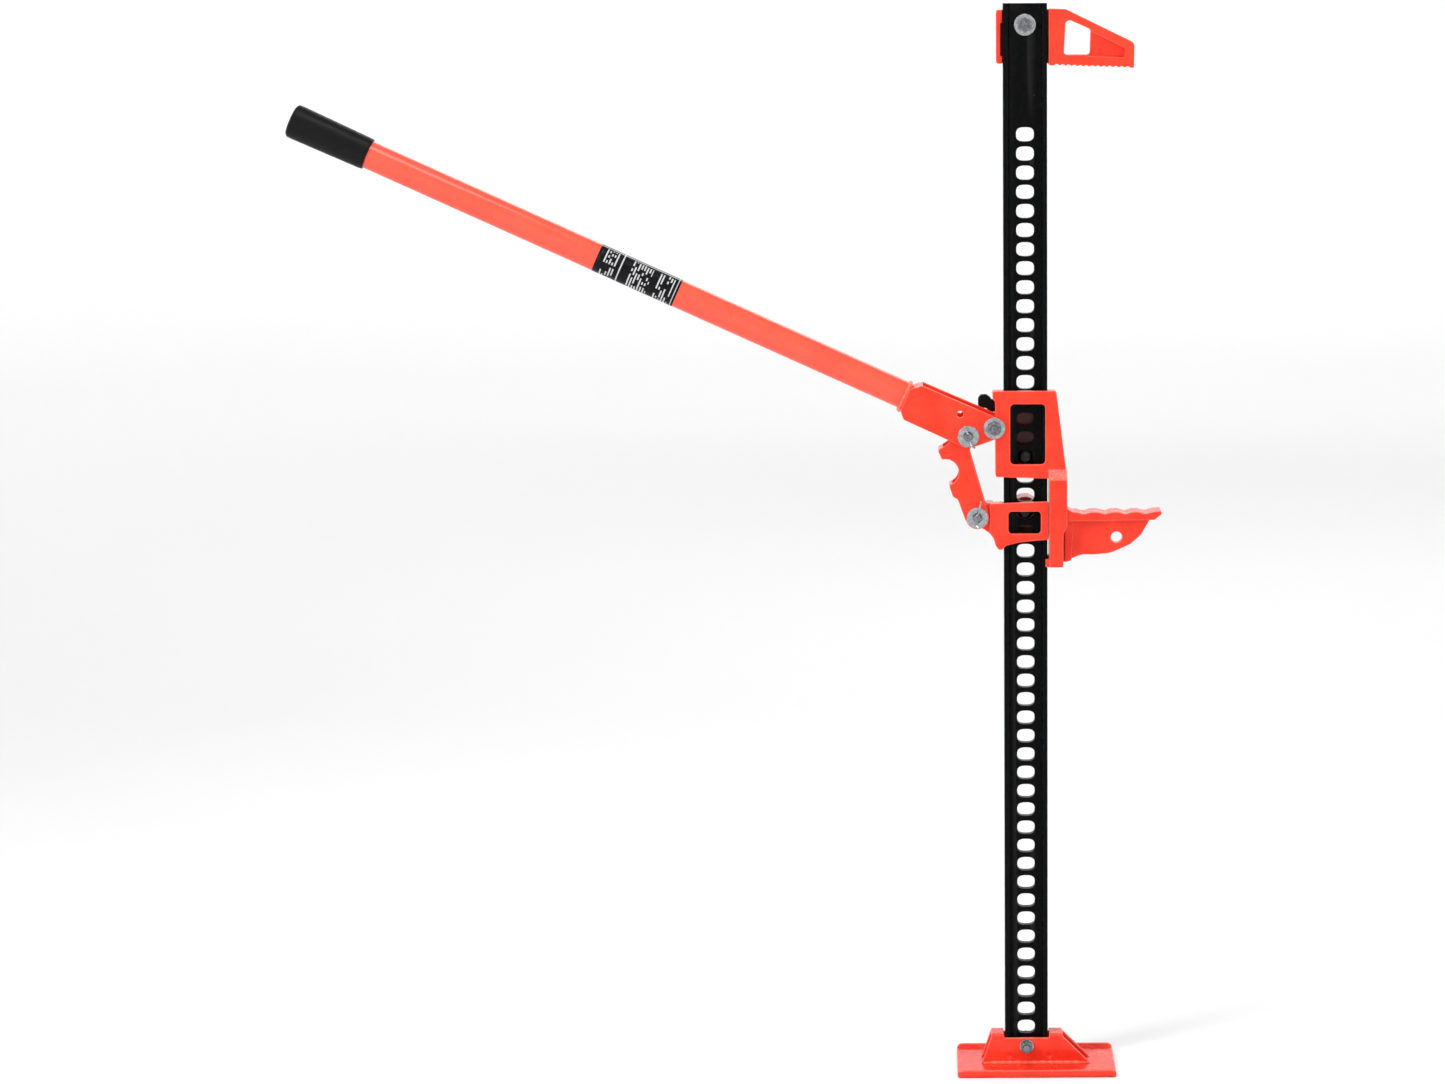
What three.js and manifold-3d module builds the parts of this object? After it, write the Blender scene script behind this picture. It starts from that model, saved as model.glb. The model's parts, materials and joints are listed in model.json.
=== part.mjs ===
// Farm jack with a lifting toe: a perforated rack bar on a rocking foot, a large runner that
// carries the toe, a small runner that walks it up the bar, and a long pumping handle.
// Millimetres, +Z up. Origin: underside of the foot plate, below the rack bar. The toe points
// to +X, the handle to -X, and the climbing pins are on the +Y side.
import * as THREE from 'three';
import { mergeVertices } from 'three/addons/utils/BufferGeometryUtils.js';
import Module from 'manifold-3d';

const wasm = await Module();
wasm.setup();

// ---------------------------------------------------------------- driving dimensions
const GAP = 0.3;                 // left between pieces that rest on each other

// rack bar: an I section whose web is pierced by climbing holes
const BAR_WIDTH = 49.5;          // along X
const BAR_DEPTH = 22;            // along Y
const FLANGE = 6;
const WEB = 9;
const BAR_BOTTOM = 7.5;
const BAR_TOP = 1224;
const HOLE_PITCH = 21.5;
const HOLE_COUNT = 49;
const FIRST_HOLE_Z = 46;
const HOLE_HEIGHT = 16;
const HOLE_WIDTH = 20.2;
const HOLE_SQUARENESS = 2.9;      // 2 is an ellipse, larger is squarer
const RUN = 1.3;                 // running clearance of a runner on the bar

// foot
const FOOT_LENGTH = 183;
const FOOT_WIDTH = 117;
const FOOT_THICK = 5;
const FOOT_LIP = 9;              // height of the upturned long edges
const FOOT_SHIFT = 11;           // the foot's middle is this far towards the toe
const FOOT_BOLT_Z = 26;
const SHEET = 4;                 // folded sheet of the foot bracket and the pitman link

// runners
const RUNNER_HALF = 19;          // half depth of the runner castings
const RUNNER_TOP = 789.8;
const BACK_DROP = 2.4;           // the runners' back walls end this much lower
const RUNNER_LEFT = -34.4;
const LEG_LEFT = 26.6;
const LEG_RIGHT = 46.9;
const LEG_BOTTOM = 588;
const LEG_HALF = 23.5;
const LEG_SHOULDER = 686;        // where the leg's thicker part starts to run out, 13 mm high
const LEG_RUNOUT = 13;
const TOE_TIP = 154.6;
const TOE_CREST = 651;
const TOE_HALF = 18;
const UPPER_PIN_Z = FIRST_HOLE_Z + 31 * HOLE_PITCH;
const LOWER_PIN_Z = FIRST_HOLE_Z + 28 * HOLE_PITCH;
const BARREL_RADIUS = 16.6;
const BARREL_END = 50;           // far face of the spring barrels, along Y

// linkage: A joins handle and large runner, B handle and pitman, C pitman and small runner
const A = { x: -35.5, z: 748.2 };
const C = { x: -55, z: 645.1 };
const HANDLE_ANGLE = 24.6;       // degrees above the horizontal, as drawn
const B_IN_HANDLE = { x: -23, z: -20.7 };
const PIN_RADIUS = 5;
const PIN_HOLE = 5.3;
const THREAD_RADIUS = 4;         // threaded ends of the bolts
const THREAD_HOLE = 4.3;
const CHEEK_INNER = RUNNER_HALF + 0.6;
const CHEEK_OUTER = CHEEK_INNER + 4.4;
const LINK_HALF = 18.6;
const LUG_HALF = LINK_HALF - SHEET - 0.4;
const LINK_SLACK = [-1.3, 5.2];  // travel of pin B in the pitman's long hole, along X
const LINK_PLAY = [-0.4, 1.3];   // and along Z

// handle
const TUBE_RADIUS = 16;
const TUBE_WALL = 2.5;
const TUBE_DROP = 10;            // tube axis below pivot A, square to the handle
const TUBE_START = -68;
const TUBE_END = -858;
const GRIP_START = -769;
const GRIP_END = -863;

// top clamp and latch
const TOP_BOLT_Z = 1200;
const LATCH = { x: -12, z: 770 };
const LATCH_HOLE = 3.4;

// ---------------------------------------------------------------- materials
const standard = (color, roughness, metalness) =>
  new THREE.MeshStandardMaterial({ color, roughness, metalness });
const redPaint = standard(0xf8432b, 0.28, 0.0);
const blackPaint = standard(0x111214, 0.3, 0.0);
const zinc = standard(0xb9bcbf, 0.32, 1.0);
const steel = standard(0x8f9194, 0.4, 1.0);
const blackVinyl = standard(0x17181a, 0.62, 0.0);

// ---------------------------------------------------------------- solid helpers
const ARC_STEP = THREE.MathUtils.degToRad(15);
const ROUND = 24;                // sides of a cylinder

function solid(geometry) {
  geometry.deleteAttribute('normal');
  geometry.deleteAttribute('uv');
  const merged = mergeVertices(geometry, 1e-4);
  return new wasm.Manifold(new wasm.Mesh({
    numProp: 3,
    vertProperties: new Float32Array(merged.attributes.position.array),
    triVerts: new Uint32Array(merged.index.array),
  }));
}

function geometryOf(body) {
  const mesh = body.getMesh();
  const geometry = new THREE.BufferGeometry();
  geometry.setAttribute('position', new THREE.BufferAttribute(mesh.vertProperties, 3));
  geometry.setIndex(new THREE.BufferAttribute(mesh.triVerts, 1));
  geometry.computeVertexNormals();
  return geometry;
}

const join = (...bodies) => bodies.reduce((whole, body) => whole.add(body));
const cut = (body, ...tools) => tools.reduce((rest, tool) => rest.subtract(tool), body);

// A closed outline. A corner is [x, y] or, rounded, [x, y, radius].
function outline(corners) {
  const points = [];
  corners.forEach(([x, y, radius = 0], index) => {
    const corner = new THREE.Vector2(x, y);
    if (radius === 0) {
      points.push(corner);
      return;
    }
    const before = corners.at(index - 1);
    const after = corners[(index + 1) % corners.length];
    const back = new THREE.Vector2(before[0], before[1]).sub(corner).normalize();
    const ahead = new THREE.Vector2(after[0], after[1]).sub(corner).normalize();
    const half = Math.acos(back.dot(ahead)) / 2;
    const centre = back.clone().add(ahead).normalize().multiplyScalar(radius / Math.sin(half));
    centre.add(corner);
    const start = back.clone().multiplyScalar(radius / Math.tan(half)).add(corner);
    const from = start.sub(centre).angle();
    const turn = (Math.PI - 2 * half) * (back.cross(ahead) < 0 ? 1 : -1);
    const steps = Math.max(2, Math.ceil(Math.abs(turn) / ARC_STEP));
    for (let step = 0; step <= steps; step++) {
      const angle = from + turn * step / steps;
      points.push(new THREE.Vector2(Math.cos(angle), Math.sin(angle))
        .multiplyScalar(radius).add(centre));
    }
  });
  return points;
}

const rectangle = (x0, y0, x1, y1, r = 0) =>
  outline([[x0, y0, r], [x1, y0, r], [x1, y1, r], [x0, y1, r]]);

function extruded(points, depth) {
  return new THREE.ExtrudeGeometry(new THREE.Shape(points), { depth, bevelEnabled: false });
}

// An XZ outline carried along Y from y0 to y1.
function plate(points, y0, y1) {
  const geometry = extruded(points, y1 - y0);
  geometry.rotateX(Math.PI / 2);
  geometry.translate(0, y1, 0);
  return solid(geometry);
}

// An XY outline carried along Z from z0 to z1.
function column(points, z0, z1) {
  return solid(extruded(points, z1 - z0).translate(0, 0, z0));
}

// A YZ outline carried along X from x0 to x1.
function rail(points, x0, x1) {
  const geometry = extruded(points, x1 - x0);
  geometry.applyMatrix4(new THREE.Matrix4().makeBasis(
    new THREE.Vector3(0, 1, 0), new THREE.Vector3(0, 0, 1), new THREE.Vector3(1, 0, 0)));
  return solid(geometry.translate(x0, 0, 0));
}

const block = (x0, y0, z0, x1, y1, z1) =>
  solid(new THREE.BoxGeometry(x1 - x0, y1 - y0, z1 - z0)
    .translate((x0 + x1) / 2, (y0 + y1) / 2, (z0 + z1) / 2));

// A cylinder along Y centred on (x, z).
const rod = (x, z, radius, y0, y1, sides = ROUND) =>
  solid(new THREE.CylinderGeometry(radius, radius, y1 - y0, sides)
    .translate(x, (y0 + y1) / 2, z));

// A turned piece on the Y axis; the profile lists [radius, y] with y rising.
function turned(profile, sides = ROUND) {
  const points = profile.map(([radius, y]) => new THREE.Vector2(radius, y));
  return solid(new THREE.LatheGeometry(points, sides));
}

// A round wire along a curve.
function wire(points, radius, steps, sides = 8) {
  const ring = Array.from({ length: sides }, (_, i) => {
    const angle = i * 2 * Math.PI / sides;
    return new THREE.Vector2(radius * Math.cos(angle), radius * Math.sin(angle));
  });
  const path = new THREE.CatmullRomCurve3(points.map(([x, y, z]) => new THREE.Vector3(x, y, z)));
  return solid(new THREE.ExtrudeGeometry(new THREE.Shape(ring),
    { steps, extrudePath: path, bevelEnabled: false }));
}

// A hexagon across flats, along Y.
const hexagon = (flats, y0, y1) => rod(0, 0, flats / Math.sqrt(3), y0, y1, 6);

const jack = new THREE.Group();

function piece(name, body, material, parent = jack, place = [0, 0, 0]) {
  const mesh = new THREE.Mesh(geometryOf(body), material);
  mesh.name = name;
  mesh.position.set(...place);
  parent.add(mesh);
  return mesh;
}

// ---------------------------------------------------------------- foot
function footPlate() {
  const half = FOOT_WIDTH / 2;
  const bend = 4;
  const pan = rail(outline([
    [-half, 0, bend], [half, 0, bend], [half, FOOT_LIP, 1], [half - FOOT_THICK, FOOT_LIP, 1],
    [half - FOOT_THICK, FOOT_THICK, 2], [-half + FOOT_THICK, FOOT_THICK, 2],
    [-half + FOOT_THICK, FOOT_LIP, 1], [-half, FOOT_LIP, 1],
  ]), FOOT_SHIFT - FOOT_LENGTH / 2, FOOT_SHIFT + FOOT_LENGTH / 2);
  const end = FOOT_LENGTH / 2;
  const plan = column(rectangle(FOOT_SHIFT - end, -half, FOOT_SHIFT + end, half, 5), -1, 12);
  const lipEnds = plate(outline([
    [FOOT_SHIFT - end, -1], [FOOT_SHIFT + end, -1],
    [FOOT_SHIFT + end, FOOT_LIP, 6], [FOOT_SHIFT - end, FOOT_LIP, 6],
  ]), -half - 1, half + 1);
  return pan.intersect(plan).intersect(lipEnds);
}

const SOCKET_TOP = 40;
const SOCKET_INNER = BAR_DEPTH / 2 + 1;
const SOCKET_OUTER = SOCKET_INNER + SHEET;

function footSocket() {
  const bottom = FOOT_THICK + 0.2;
  const outer = rail(outline([
    [-SOCKET_OUTER, bottom], [SOCKET_OUTER, bottom],
    [SOCKET_OUTER, SOCKET_TOP, 5], [-SOCKET_OUTER, SOCKET_TOP, 5],
  ]), -60, 90);
  const inner = rail(outline([
    [-SOCKET_INNER, 0], [SOCKET_INNER, 0],
    [SOCKET_INNER, SOCKET_TOP - SHEET, 1.5], [-SOCKET_INNER, SOCKET_TOP - SHEET, 1.5],
  ]), -70, 100);
  const side = plate(outline([
    [-52, bottom], [74, bottom], [42, SOCKET_TOP - 3, 3], [41, SOCKET_TOP + 1],
    [-40, SOCKET_TOP + 1], [-41, SOCKET_TOP - 3, 3],
  ]), -30, 30);
  const slotHalf = BAR_WIDTH / 2 + 1.4;
  const slot = block(-slotHalf, -30, 35.5, slotHalf, 30, 50);
  const dimples = [-20, 26].flatMap((x) => [-1, 1].map((way) =>
    solid(new THREE.SphereGeometry(6, 16, 10).translate(x, way * (SOCKET_OUTER + 4.8), 14.5))));
  return cut(outer.intersect(side), inner, slot, rod(0, FOOT_BOLT_Z, PIN_HOLE, -30, 30), ...dimples);
}

// ---------------------------------------------------------------- rack bar
function rackBar() {
  const x = BAR_WIDTH / 2;
  const y = BAR_DEPTH / 2;
  const root = x - FLANGE;
  const web = WEB / 2;
  const section = outline([
    [-x, -y, 1.2], [-root, -y, 1.2], [-root, -web, 2.5], [root, -web, 2.5], [root, -y, 1.2],
    [x, -y, 1.2], [x, y, 1.2], [root, y, 1.2], [root, web, 2.5], [-root, web, 2.5],
    [-root, y, 1.2], [-x, y, 1.2],
  ]);
  const corners = 20;
  const squared = (value) => Math.sign(value) * Math.abs(value) ** (2 / HOLE_SQUARENESS);
  const hole = Array.from({ length: corners }, (_, index) => {
    const angle = (index + 0.5) * 2 * Math.PI / corners;
    return new THREE.Vector2(
      HOLE_WIDTH / 2 * squared(Math.cos(angle)), HOLE_HEIGHT / 2 * squared(Math.sin(angle)));
  });
  let bar = column(section, BAR_BOTTOM, BAR_TOP);
  for (let index = 0; index < HOLE_COUNT; index++) {
    const z = FIRST_HOLE_Z + index * HOLE_PITCH;
    const tool = plate(hole.map((point) => new THREE.Vector2(point.x, point.y + z)), -6, 6);
    bar = bar.subtract(tool);
  }
  return cut(bar, rod(0, FOOT_BOLT_Z, PIN_HOLE, -15, 15, 24), rod(0, TOP_BOLT_Z, PIN_HOLE, -15, 15, 24));
}

// ---------------------------------------------------------------- top clamp
const CLAMP_BACK = BAR_DEPTH / 2 + 0.6;
const CLAMP_ARM = 26.6;          // inner face of the arm, along X
const CLAMP_HALF = 14;
const CLAMP_BOTTOM = 1154.6;
const CLAMP_TOP = 1218;

function clampJaw() {
  const toothCount = 13;
  const pitch = 6.6;
  const from = 32.5;
  const slope = -0.036;
  const bow = 0.00015;           // the toothed edge is very slightly hollow
  const middle = 75;
  const bottom = (x) => CLAMP_BOTTOM + slope * (x - CLAMP_ARM) + bow * (x - middle) ** 2;
  const teeth = [];
  for (let tooth = 0; tooth < toothCount; tooth++) {
    const x = from + tooth * pitch;
    teeth.push([x, bottom(x)], [x + 0.25 * pitch, bottom(x) + 1.7], [x + 0.6 * pitch, bottom(x) + 1.7]);
  }
  return outline([
    [CLAMP_ARM, bottom(CLAMP_ARM), 1.5], ...teeth, [from + toothCount * pitch, bottom(118)],
    [121.9, bottom(122), 1.5], [122.6, 1179.6, 7], [46, 1217.2, 3], [CLAMP_ARM, CLAMP_TOP, 1],
  ]);
}

function topClamp() {
  const arm = plate(clampJaw(), -CLAMP_HALF, CLAMP_HALF + 5);
  const left = -32.3;
  const low = CLAMP_BOTTOM + 2.2;
  const high = CLAMP_TOP - 1.2;
  const back = plate(rectangle(left, low, 32, high, 5), CLAMP_BACK, CLAMP_HALF + 5);
  const lipInner = -BAR_WIDTH / 2 - 0.5;
  const lip = cut(
    plate(rectangle(left, low, lipInner, high, 2.6), -6, CLAMP_HALF),
    block(-27.4, -7, 1165, lipInner + 1, 9, 1202),
  );
  const tongue = block(-15.5, WEB / 2 + GAP, 1161, 15.5, CLAMP_BACK + 1, 1215);
  const window = plate(outline([
    [43.4, 1166.8, 3], [72.6, 1166.8, 3], [73.6, 1194.6, 3], [49.5, 1205.4, 3.5], [45.4, 1202.5, 3],
  ]), -30, 30);
  const pocketShape = outline([
    [69, 1165.2], [111, 1163.4, 3], [112.6, 1173, 3], [69, 1194.2],
  ]);
  const pocketFloor = 4;
  const pockets = [plate(pocketShape, -30, -pocketFloor), plate(pocketShape, pocketFloor + 5, 30)];
  return cut(join(arm, back, lip, tongue), window, ...pockets,
    rod(0, TOP_BOLT_Z, PIN_HOLE, -5, 30));
}

// ---------------------------------------------------------------- large runner
const CHANNEL_X = BAR_WIDTH / 2 + RUN;
const CHANNEL_Y = BAR_DEPTH / 2 + RUN;
const TOE_HOLE = { x: 103.6, z: 620.3 };

function toeTop() {
  const halfDip = 8.5;
  const dip = 2.3;
  const points = [[TOE_TIP, TOE_CREST - 3, 1.5], [TOE_TIP - 0.5, TOE_CREST + 1, 1.5]];
  for (const valley of [136.2, 113.2, 90.2, 66]) {
    for (const part of [1, 0.6, 0.3, 0, -0.3, -0.6, -1]) {
      const depth = dip * (1 + Math.cos(Math.PI * part)) / 2;
      points.push([valley + part * halfDip, TOE_CREST - depth]);
    }
  }
  return points;
}

function toe() {
  const nosePlate = plate(outline([
    [LEG_LEFT + 5, 640], [146, 641.5, 3], ...toeTop(),
    [LEG_RIGHT, TOE_CREST, 8], [LEG_RIGHT, 665], [LEG_LEFT + 5, 665],
  ]), -TOE_HALF, TOE_HALF);
  const rib = plate(outline([
    [43, 591.5, 2], [54.2, 597, 6], [63.8, 600.5, 8], [78.8, 600.5, 20], [97, 602.3, 20],
    [119, 612, 16], [131.6, 623, 16], [143, 643], [43, 643],
  ]), -6.5, 6.5);
  const rootFillet = plate(outline([
    [LEG_RIGHT - 2, 592], [LEG_RIGHT + 5, 594], [LEG_RIGHT + 9, 640], [LEG_RIGHT - 2, 640],
  ]), -9, 9);
  return cut(join(nosePlate, rib, rootFillet), rod(TOE_HOLE.x, TOE_HOLE.z, 6.5, -20, 20));
}

function leg() {
  const top = LEG_SHOULDER + LEG_RUNOUT;
  const post = rail(outline([
    [-LEG_HALF, LEG_BOTTOM, 3], [LEG_HALF, LEG_BOTTOM, 3], [LEG_HALF, LEG_SHOULDER, 3],
    [RUNNER_HALF - 1, top], [-RUNNER_HALF + 1, top], [-LEG_HALF, LEG_SHOULDER, 3],
  ]), LEG_LEFT, LEG_RIGHT);
  const narrowing = plate(outline([
    [LEG_RIGHT - 4.3, LEG_BOTTOM - 1], [LEG_RIGHT + 1, LEG_BOTTOM - 1], [LEG_RIGHT + 1, 630],
    [LEG_RIGHT, 636], [LEG_RIGHT - 4.3, 626],
  ]), -30, 30);
  const hook = block(22.4, -RUNNER_HALF, LEG_BOTTOM, LEG_LEFT + 2, RUNNER_HALF, 597);
  return join(cut(post, narrowing), hook);
}

function pinBore(z) {
  return join(
    rod(0, z, 7.9, 5, BARREL_END - 4, 24),
    rod(0, z, 4.7, BARREL_END - 5, BARREL_END + 2, 24),
  );
}

function largeRunner() {
  const box = plate(outline([
    [RUNNER_LEFT, 691.7, 2], [LEG_RIGHT - 1, 689], [LEG_RIGHT - 0.5, 695], [34.7, RUNNER_TOP, 3],
    [RUNNER_LEFT - 3, RUNNER_TOP, 1.2], [RUNNER_LEFT - 3, 780.5, 2], [RUNNER_LEFT, 777],
  ]), -RUNNER_HALF, RUNNER_HALF);
  const handleLug = join(
    rod(A.x, A.z, 11.5, -RUNNER_HALF, RUNNER_HALF),
    block(A.x, -RUNNER_HALF, A.z - 11.4, RUNNER_LEFT + 4, RUNNER_HALF, A.z + 11.4),
  );
  const barrel = join(
    rod(0, UPPER_PIN_Z, BARREL_RADIUS, RUNNER_HALF - 2, BARREL_END),
    plate(outline([[-12, 722], [12, 722], [7, 786], [-7, 786]]), RUNNER_HALF - 2, RUNNER_HALF + 5),
    rod(LATCH.x, LATCH.z, 9, RUNNER_HALF - 2, RUNNER_HALF + 5.5),
  );
  const channel = block(-CHANNEL_X, -CHANNEL_Y, 500, CHANNEL_X, CHANNEL_Y, 900);
  const window = plate(rectangle(-17.4, 706, 22.1, 774.6, 4.5), -30, 0);
  return cut(
    join(box, handleLug, barrel, leg(), toe()),
    channel, window, pinBore(UPPER_PIN_Z), block(-60, 0, RUNNER_TOP - BACK_DROP, 60, 60, 900),
    rod(A.x, A.z, PIN_HOLE, -30, 30),
    rod(LATCH.x, LATCH.z, LATCH_HOLE, 5, 40, 24),
  );
}

// ---------------------------------------------------------------- small runner
function smallRunner() {
  const body = plate(outline([
    [-30.5, 607.7, 2.5], [-26.8, 608.5], [-22.2, 613, 5], [-8.2, 616.4], [9.4, 618.3],
    [26, 619.4, 1.5], [26, 663.5, 1.5], [-41, 661.2, 2], [-41, 629, 3], [-36.3, 620], [-34.4, 613, 4],
  ]), -RUNNER_HALF + 0.5, RUNNER_HALF - 0.5);
  const lug = join(
    rod(C.x, C.z, 13, -LUG_HALF, LUG_HALF),
    plate(outline([
      [-37, 621], [-41.4, 627, 6], [-50.3, 633], [C.x, C.z], [-52, 657.8], [-43, 661.4], [-37, 661.6],
    ]), -LUG_HALF, LUG_HALF),
  );
  const barrel = join(
    rod(0, LOWER_PIN_Z, BARREL_RADIUS, RUNNER_HALF - 3, BARREL_END),
    block(-14, RUNNER_HALF - 3, 620, 14, RUNNER_HALF + 4, LOWER_PIN_Z),
  );
  const channel = block(-CHANNEL_X, -CHANNEL_Y, 500, 60, CHANNEL_Y, 900);
  const window = plate(rectangle(-19.6, 626.6, 17, 652, 4), -30, 0);
  return cut(cut(body, block(-60, 0, 663.5 - 2 * BACK_DROP, 60, 60, 900)).add(lug).add(barrel), channel, window, pinBore(LOWER_PIN_Z),
    rod(C.x, C.z, PIN_HOLE, -30, 30));
}

// ---------------------------------------------------------------- climbing pins
const PIN_SHOULDER = 20;
const STEM_RADIUS = 4.2;
const CROSS_Y = 58;

function climbingPin() {
  const body = turned([
    [0, -7], [5.2, -7], [7.4, -4.2], [7.4, PIN_SHOULDER], [STEM_RADIUS, PIN_SHOULDER],
    [STEM_RADIUS, CROSS_Y + 6], [3.2, CROSS_Y + 7], [0, CROSS_Y + 7],
  ], 24);
  return body.subtract(crossHole());
}

const crossHole = () => solid(new THREE.CylinderGeometry(2.3, 2.3, 30, 16)
  .rotateX(Math.PI / 2).translate(0, CROSS_Y, 0));
const crossPin = () => solid(new THREE.CylinderGeometry(2, 2, 26, 16)
  .rotateX(Math.PI / 2).translate(0, CROSS_Y, 0));

// Spring between a pin drawn back by `back` and the end of its barrel.
function pinSpring(back) {
  const turns = 5;
  const perTurn = 8;
  const from = PIN_SHOULDER + back + 1.2;
  const length = BARREL_END - 4 - from - 1.2;
  const points = Array.from({ length: turns * perTurn + 1 }, (_, i) => {
    const angle = i * 2 * Math.PI / perTurn;
    return [5.9 * Math.cos(angle), from + length * i / (turns * perTurn), 5.9 * Math.sin(angle)];
  });
  return wire(points, 0.8, turns * perTurn, 6);
}

// ---------------------------------------------------------------- reversing latch
function latchLever() {
  const y0 = RUNNER_HALF + 5.5 + GAP;
  const bladeShape = outline([
    [-14, -8], [0, -9.5, 8], [10, -8, 7], [10, 8, 7], [-2, 9.5, 8], [-16, 3.4], [-26, 6, 2],
    [-32, 6, 2], [-32, 0.8, 2], [-26, -3, 3],
  ]);
  return cut(plate(bladeShape, y0, y0 + 4), rod(0, 0, LATCH_HOLE, 0, 60, 24));
}

function latchKnob() {
  const y0 = RUNNER_HALF + 5.5 + GAP;
  const shell = plate(outline([
    [-20.5, -9.2, 2], [-27.5, -8.4, 3], [-33, -4, 5], [-41.4, -4.2, 6], [-41.4, 11, 6], [-30, 11.6, 5],
    [-26.8, 7.6, 2], [-20.5, 5.6, 1],
  ]), y0 - 0.4, y0 + 8);
  const pocket = plate(outline([
    [-14, -8.5], [-26.3, -3.5], [-32.4, 0.5], [-32.4, 6.4], [-25.9, 6.4], [-14, 3.2],
  ]), y0 - 1, y0 + 4 + GAP);
  return shell.subtract(pocket);
}

function smallBolt() {
  const y0 = RUNNER_HALF + 9.5 + 2 * GAP;
  return join(rod(0, 0, 3, 14, y0 + 1, 24), hexagon(10, y0, y0 + 4.2));
}

// ---------------------------------------------------------------- handle (pivot A at 0, 0)
function cheekShape() {
  return outline([
    [12.4, 0, 1], [10.7, -6.2, 3], [5.5, -12, 4], [-12, -29, 12], [-22, -34.2, 6], [-97.6, -33.5, 3],
    [-104.6, -26.5, 4], [-105.4, 1, 3], [-94, 10.4, 3], [0, 12, 4], [9, 8.6, 6],
  ]);
}

function handleSocket() {
  const whole = plate(cheekShape(), -CHEEK_OUTER, CHEEK_OUTER);
  const inside = plate(outline([
    [20, -50], [-62, -50], [-62, -34 + SHEET], [-93, -34 + SHEET], [-93, 20], [20, 20],
  ]), -CHEEK_INNER, CHEEK_INNER);
  const tubeHole = solid(new THREE.CylinderGeometry(TUBE_RADIUS + GAP, TUBE_RADIUS + GAP, 60, 40)
    .rotateZ(Math.PI / 2).translate(-100, 0, -TUBE_DROP));
  return cut(whole, inside, tubeHole,
    rod(0, 0, PIN_HOLE, -30, 30),
    rod(B_IN_HANDLE.x, B_IN_HANDLE.z, PIN_HOLE, -30, 30),
    rod(-41.9, -1.4, 3.75, -30, 30, 24));
}

function handleTube() {
  const length = TUBE_START - TUBE_END;
  const pipe = (radius, extra) =>
    solid(new THREE.CylinderGeometry(radius, radius, length + extra, 40).rotateZ(Math.PI / 2)
      .translate((TUBE_START + TUBE_END) / 2, 0, -TUBE_DROP));
  return pipe(TUBE_RADIUS, 0).subtract(pipe(TUBE_RADIUS - TUBE_WALL, 2));
}

function handleGrip() {
  const inner = TUBE_RADIUS + GAP;
  const profile = [
    [0, GRIP_END], [16.5, GRIP_END], [19.3, GRIP_END + 2.5], [19.6, GRIP_END + 8], [18.3, GRIP_START - 4],
    [17.8, GRIP_START], [inner, GRIP_START], [inner, TUBE_END - GAP], [0, TUBE_END - GAP],
  ];
  return solid(new THREE.LatheGeometry(profile.map(([r, x]) => new THREE.Vector2(r, x)), 40)
    .rotateZ(-Math.PI / 2).translate(0, 0, -TUBE_DROP));
}

// ---------------------------------------------------------------- pitman link
function pitman() {
  const b = pivotB();
  const lobe = (centre, radius) => rod(centre.x, centre.z, radius, -LINK_HALF, LINK_HALF);
  const web = plate(outline([
    [-68.5, 642, 3], [-77.3, 666.5, 2], [-82.5, 669, 1.5], [-87.2, 682.6, 1.5], [-78, 691, 3],
    [-78, 702, 8], [-86.5, 712.5, 3], [-94.6, 710.6, 1.5], [-99.6, 722.6, 1.5], [-89, 729, 3],
    [b.x - 8, b.z + 8], [b.x + 9, b.z - 4], [-64, 722.5, 6], [-43.5, 652], [C.x, C.z - 10],
  ]), -LINK_HALF, LINK_HALF);
  const whole = join(web, lobe(b, 12), lobe({ x: b.x + LINK_SLACK[1], z: b.z }, 11), lobe(C, 13.2));
  const notch = rod(-91, 697.2, 15.2, -30, 30);
  const inside = plate(outline([
    [-95.5, 760], [-92.5, 704], [-84.5, 690], [-79.6, 672], [-92, 640], [-92, 620], [0, 620], [0, 760],
  ]), -LINK_HALF + SHEET, LINK_HALF - SHEET);
  const longHole = plate(rectangle(
    b.x - PIN_HOLE + LINK_SLACK[0], b.z - PIN_RADIUS + LINK_PLAY[0],
    b.x + PIN_HOLE + LINK_SLACK[1], b.z + PIN_RADIUS + LINK_PLAY[1], PIN_RADIUS), -30, 30);
  return cut(whole, notch, inside, longHole, rod(C.x, C.z, PIN_HOLE, -30, 30));
}

function pivotB() {
  const angle = THREE.MathUtils.degToRad(HANDLE_ANGLE);
  const { x, z } = B_IN_HANDLE;
  return {
    x: A.x + x * Math.cos(angle) + z * Math.sin(angle),
    z: A.z - x * Math.sin(angle) + z * Math.cos(angle),
  };
}

// ---------------------------------------------------------------- fasteners, on the Y axis
const WASHER = 2.2;

const washer = (face, way, radius = 12.2, hole = PIN_HOLE) => {
  const [y0, y1] = [face + way * GAP, face + way * (GAP + WASHER)].sort((p, q) => p - q);
  return cut(rod(0, 0, radius, y0, y1), rod(0, 0, hole, y0 - 1, y1 + 1));
};

// Bolt with its head on the +Y side, from faces front to back.
function bolt(front, back, flats = 14.5) {
  const head = back + WASHER + 2 * GAP;
  const shank = rod(0, 0, PIN_RADIUS, front, head + 1);
  const thread = rod(0, 0, THREAD_RADIUS, front - WASHER - 11, front + 1);
  return join(shank, thread, hexagon(flats, head, head + 6.4));
}

// Lock nut: a hexagon with a round collar.
function nut(front, flats = 14.5) {
  const seat = front - WASHER - 2 * GAP;
  const tip = flats / Math.sqrt(3);
  const dome = turned([[0, seat - 8], [flats / 2 - 0.7, seat - 8], [tip, seat - 4.6], [tip, seat], [0, seat]]);
  const collar = rod(0, 0, flats / 2 - 0.8, seat - 8, seat - 4);
  return cut(join(hexagon(flats, seat - 5.8, seat).intersect(dome), collar),
    rod(0, 0, THREAD_HOLE, seat - 12, seat + 1));
}

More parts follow.
